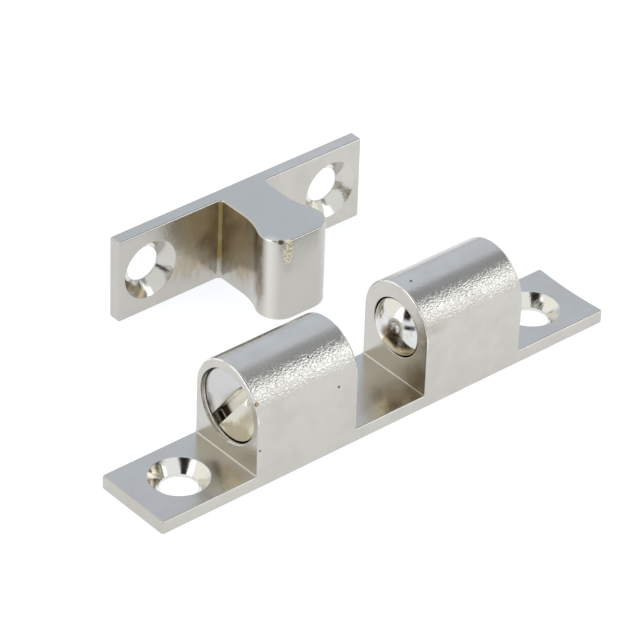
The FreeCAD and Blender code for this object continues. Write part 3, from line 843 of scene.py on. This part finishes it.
def polished_steel():
    """A bearing ball: bright, with hair scratches, a few dull specks, a painted brown reflection and a
    painted cream reflection below it."""
    material, tree, shader, place = new_finish("ball_steel")
    hairs = grain(tree, place, 6, 3, (1, 0.15, 1))
    specks = grain(tree, place, 1.3, 5)
    colour = blend(tree, between(tree, specks, 0.55, 0.75), BALL_STEEL, DULL_STEEL)
    # Painted reflection: dark brown patches where the other barrel's end shows
    for centre, radius, strength in BALL_BROWN_REFLECTIONS:
        share = product(tree, spot(tree, place, centre, radius, 0.45), strength)
        colour = blend(tree, share, colour, PAINTED_BROWN_REFLECTION)
    # Painted reflection: cream patches below them
    for centre in BALL_CREAM_REFLECTIONS:
        colour = blend(tree, spot(tree, place, centre, BALL_CREAM_REACH), colour, PAINTED_CREAM_REFLECTION)
    tree.links.new(colour, shader.inputs["Base Color"])
    roughness = between(tree, specks, 0.45, 0.75, 0.11, 0.2)
    tree.links.new(roughness, shader.inputs["Roughness"])
    set_bump(tree, shader, hairs, 0.4)
    return material


def turned_nickel():
    """A screw's faced end, with fine rings from the lathe, a warm side and a cream slot that
    has painted shade towards its ends."""
    material, tree, shader, place = new_finish("screw_nickel")
    centred = add(
        tree, "ShaderNodeVectorMath", {0: place, 1: (0, 0, BORE_HEIGHT)}, operation="SUBTRACT"
    ).outputs[0]
    inputs = {"Vector": centred, "Scale": 2.4, "Distortion": 0.3, "Detail": 1}
    rings = add(tree, "ShaderNodeTexWave", inputs, wave_type="RINGS", rings_direction="X")
    clouds = grain(tree, place, 0.6, 3)
    inputs = {0: centred, 1: SCREW_WARM_SIDE}
    side = add(tree, "ShaderNodeVectorMath", inputs, operation="DOT_PRODUCT")
    warm = calculate(tree, "MULTIPLY_ADD", clouds, 3, side.outputs["Value"])
    colour = blend(tree, between(tree, warm, 0, 4), SCREW_NICKEL, WARM_NICKEL)
    x = calculate(tree, "ABSOLUTE", x_y_z(tree, place)[0])
    in_slot = between(tree, x, SCREW_FACE - 0.35, SCREW_FACE - 0.15, 1, 0)
    away = length(tree, scaled(tree, centred, (0, 1, 1)))
    # Painted shade towards the slot's ends
    shaded_slot_ends = product(tree, between(tree, away, 1.9, 2.6), between(tree, away, 3.5, 3.7, 1, 0))
    colour = blend(tree, in_slot, colour, blend(tree, shaded_slot_ends, CLEAN_SLOT, PAINTED_SLOT_SHADE))
    tree.links.new(colour, shader.inputs["Base Color"])
    roughness = between(tree, clouds, *CLOUDS, *SATIN)
    roughness = calculate(tree, "MULTIPLY_ADD", in_slot, 0.3, roughness)
    tree.links.new(roughness, shader.inputs["Roughness"])
    set_bump(tree, shader, rings.outputs[1], 2)
    return material


def spring_wire():
    """Drawn spring wire: dark, with drawing lines and a film of oil."""
    material, tree, shader, place = new_finish("spring_steel")
    lines = grain(tree, place, 7, 2, (0.3, 1, 1))
    colour = blend(tree, between(tree, lines, 0.35, 0.65), SPRING_STEEL, OILY_STEEL)
    tree.links.new(colour, shader.inputs["Base Color"])
    tree.links.new(between(tree, lines, 0.3, 0.7, 0.28, 0.45), shader.inputs["Roughness"])
    set_bump(tree, shader, lines, 3)
    return material


def dress(piece, body, slot, material, *nodes):
    """Brings a finished piece to metres and ties it to what it stands for. A piece that
    bends between two bodies rides on none."""
    piece.data.transform(METRES)
    piece.data.polygons.foreach_set("use_smooth", [True] * len(piece.data.polygons))
    even = piece.modifiers.new("even_normals", "WEIGHTED_NORMAL")
    even.weight = 100
    as_mesh(piece)
    piece.data.materials.clear()
    piece.data.materials.append(material)
    if body:
        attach(piece, body)
    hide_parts(*nodes)


def spring_parts(side, sign, tree, material):
    """A spring in two parts that meet at a point along the coil, the first at the ball's end and the
    second at the screw's end. Neither part is tied to a body."""
    open_length = SPRING_END - SPRING_START - CLOSED_COILS * CLOSED_COIL_PITCH
    pitch = open_length / OPEN_COILS
    meeting = SPRING_START + CLOSED_COIL_PITCH + (MEETING_COIL - 1) * pitch
    share = MEETING_COIL / (OPEN_COILS + CLOSED_COILS)
    for end, first, last, bodies, limits in (
        ("ball", 0.0, share, ("ball_" + side, "catch"), (SPRING_START, meeting - WIRE_RADIUS)),
        ("screw", share, 1.0, ("catch", "spring_" + side), (meeting + WIRE_RADIUS, SPRING_END)),
    ):
        part = spring_part(tree, f"wire_spring_{side}_{end}_end", sign, material, first, last)
        dress(part, None, "spring_steel", material, "spring_" + side)
        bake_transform(part)


coil = coil_tree()
body_finish = nickel(
    "body_nickel",
    sinks=[(sign * BODY_HOLE_X, 0, 0) for sign in (-1, 1)],
    sink_radius=BODY_COUNTERSINK / 2,
    sink_plane=(1, 1, 0),
    cut_share=0.65,
    coarse_share=front_shoulders,
    marks=BODY_MARKS,
    colouring=body_colouring,
)
dress(body_shape(coil), "catch", "body_nickel", body_finish, "catch_body")
strike_finish = nickel(
    "strike_nickel",
    sinks=[(STRIKE_PLACE.x + sign * STRIKE_HOLE_X, 0, STRIKE_HEIGHT / 2) for sign in (-1, 1)],
    sink_radius=STRIKE_COUNTERSINK / 2,
    sink_plane=(1, 0, 1),
    cut_share=0.2,
    coarse_share=nose_patch,
    marks=STRIKE_MARKS,
    colouring=strike_colouring,
)
dress(strike_shape(), "catch", "strike_nickel", strike_finish, "strike")
ball_finish = polished_steel()
screw_finish = turned_nickel()
wire_finish = spring_wire()
for side, sign in (("left", -1), ("right", 1)):
    dress(ball_shape(side, sign), "ball_" + side, "ball_steel", ball_finish, "ball_" + side)
    spring_parts(side, sign, coil, wire_finish)
    dress(screw_shape(coil, side, sign), "screw_" + side, "screw_nickel", screw_finish, "screw_" + side)


# The room, in metres, and the camera that was fitted to the photo's edges and hole outlines
ROOM_CENTRE = Vector((0, 0.01, 0))
ROOM_WHITE = (0.96, 0.985, 1, 1)
FLOOR_REACH = 2
FLOOR_BELOW = 0.00002
FLOOR_GREY = (0.35, 0.35, 0.35, 1)
FLOOR_WHITE = (0.965, 0.985, 1.02, 1)
WINDOW_COLOUR = (0.88, 0.95, 1)
CAMERA_PLACE = (-0.2403469, -0.2653558, 0.2625285)
CAMERA_TURN = (54.81278, -1.7558, -40.231644)
FOCAL_LENGTH = 240.556
FILM_WIDTH = 36


def aimed(thing, direction, distance):
    """Puts a thing out in a direction from the catch, with its back to that side."""
    towards = Vector(direction).normalized()
    thing.location = ROOM_CENTRE + towards * distance
    thing.rotation_euler = towards.to_track_quat("Z", "Y").to_euler()
    return thing


def card(name, direction, away, size, colour):
    """A card out of the camera's view that the metal mirrors in that colour. Its edges are soft."""
    vertices = [(x, y, 0) for x, y in ((-1, -1), (-1, 1), (1, 1), (1, -1))]
    mesh = bpy.data.meshes.new(name)
    mesh.from_pydata(vertices, [], [(0, 1, 2, 3)])
    paint = bpy.data.materials.new(name)
    paint.use_nodes = True
    tree = paint.node_tree
    tree.nodes.remove(tree.nodes["Principled BSDF"])
    glow = add(tree, "ShaderNodeEmission", {"Color": (*colour, 1), "Strength": 1}).outputs[0]
    clear = add(tree, "ShaderNodeBsdfTransparent").outputs[0]
    where = add(tree, "ShaderNodeTexCoord").outputs["Object"]
    x, y, _ = x_y_z(tree, where)
    fades = (between(tree, calculate(tree, "ABSOLUTE", side), 0.5, 1, 1, 0) for side in (x, y))
    share = product(tree, *fades)
    soft = add(tree, "ShaderNodeMixShader", {0: share, 1: clear, 2: glow}).outputs[0]
    tree.links.new(soft, tree.nodes["Material Output"].inputs["Surface"])
    mesh.materials.append(paint)
    piece = aimed(new_object(name, mesh), direction, away)
    piece.scale = (size[0] / 2, size[1] / 2, 1)
    piece.visible_camera = False
    piece.visible_shadow = False


def window(name, direction, away, size, brightness):
    """A square lamp that faces the catch; at brightness 1 it looks white in a mirror."""
    lamp = bpy.data.lights.new(name, "AREA")
    lamp.size = size
    lamp.color = WINDOW_COLOUR
    lamp.energy = brightness * 4 * size**2
    holder = bpy.data.objects.new(name, lamp)
    bpy.context.scene.collection.objects.link(aimed(holder, direction, away))


def seen_directly(tree):
    """1 for what the camera, metal and glass see, and 0 for light on its way."""
    paths = add(tree, "ShaderNodeLightPath").outputs
    share = calculate(tree, "MAXIMUM", paths["Is Camera Ray"], paths["Is Glossy Ray"])
    return calculate(tree, "MAXIMUM", share, paths["Is Transmission Ray"])


def studio():
    """A white room and a grey floor that glows white where it is seen, with cards and a
    window that the metal mirrors."""
    world = bpy.data.worlds.new("white_room")
    world.use_nodes = True
    tree = world.node_tree
    background = tree.nodes["Background"]
    background.inputs["Color"].default_value = ROOM_WHITE
    strength = between(tree, seen_directly(tree), 0, 1, 0.7, 1.05)
    tree.links.new(strength, background.inputs["Strength"])
    bpy.context.scene.world = world

    mesh = bpy.data.meshes.new("floor")
    corners = ((-1, -1), (1, -1), (1, 1), (-1, 1))
    vertices = [(FLOOR_REACH * x, FLOOR_REACH * y, -FLOOR_BELOW) for x, y in corners]
    mesh.from_pydata(vertices, [], [(0, 1, 2, 3)])
    paper = bpy.data.materials.new("white_paper")
    paper.use_nodes = True
    tree = paper.node_tree
    shader = tree.nodes["Principled BSDF"]
    shader.inputs["Base Color"].default_value = FLOOR_GREY
    shader.inputs["Roughness"].default_value = 1
    shader.inputs["Specular IOR Level"].default_value = 0
    shader.inputs["Emission Color"].default_value = FLOOR_WHITE
    glow = calculate(tree, "MULTIPLY", seen_directly(tree), 0.84)
    tree.links.new(glow, shader.inputs["Emission Strength"])
    mesh.materials.append(paper)
    new_object("floor", mesh)

    card("cool_card", (0.54, 0.61, 0.58), away=0.8, size=(1.1, 1.1), colour=(0.8, 0.88, 1.01))
    card("left_card", (-0.5, 0.7, 0.5), away=0.8, size=(0.9, 0.9), colour=(1.08, 1.07, 1.0))
    card("grey_card", (0.54, -0.19, 0.82), away=0.75, size=(0.8, 0.4), colour=(0.36, 0.385, 0.415))
    card("edge_card", (0.5, 0.86, 0.2), away=0.9, size=(1.4, 0.6), colour=(0.62, 0.67, 0.74))
    card("dark_card", (-0.58, -0.24, 0.78), away=0.7, size=(0.45, 0.8), colour=(0.02, 0.015, 0.01))
    card("low_dark_card", (-0.78, -0.62, 0.02), away=0.7, size=(0.55, 0.4), colour=(0.03, 0.03, 0.03))
    card("bright_card", (-0.89, 0.06, 0.36), away=0.7, size=(0.4, 1.1), colour=(2.4, 2.4, 2.4))
    card("cream_card", (0.98, -0.18, 0.12), away=0.8, size=(0.5, 0.4), colour=(1.5, 1.38, 1.15))
    window("key_window", (0.54, -0.65, 0.53), away=0.7, size=0.3, brightness=0.85)


def camera():
    lens = bpy.data.cameras.new("camera")
    lens.sensor_width = FILM_WIDTH
    lens.lens = FOCAL_LENGTH
    lens.clip_start = 0.01
    holder = bpy.data.objects.new("camera", lens)
    holder.location = CAMERA_PLACE
    holder.rotation_euler = [math.radians(angle) for angle in CAMERA_TURN]
    bpy.context.scene.collection.objects.link(holder)
    bpy.context.scene.camera = holder


studio()
camera()
bpy.context.scene.view_settings.view_transform = "Standard"
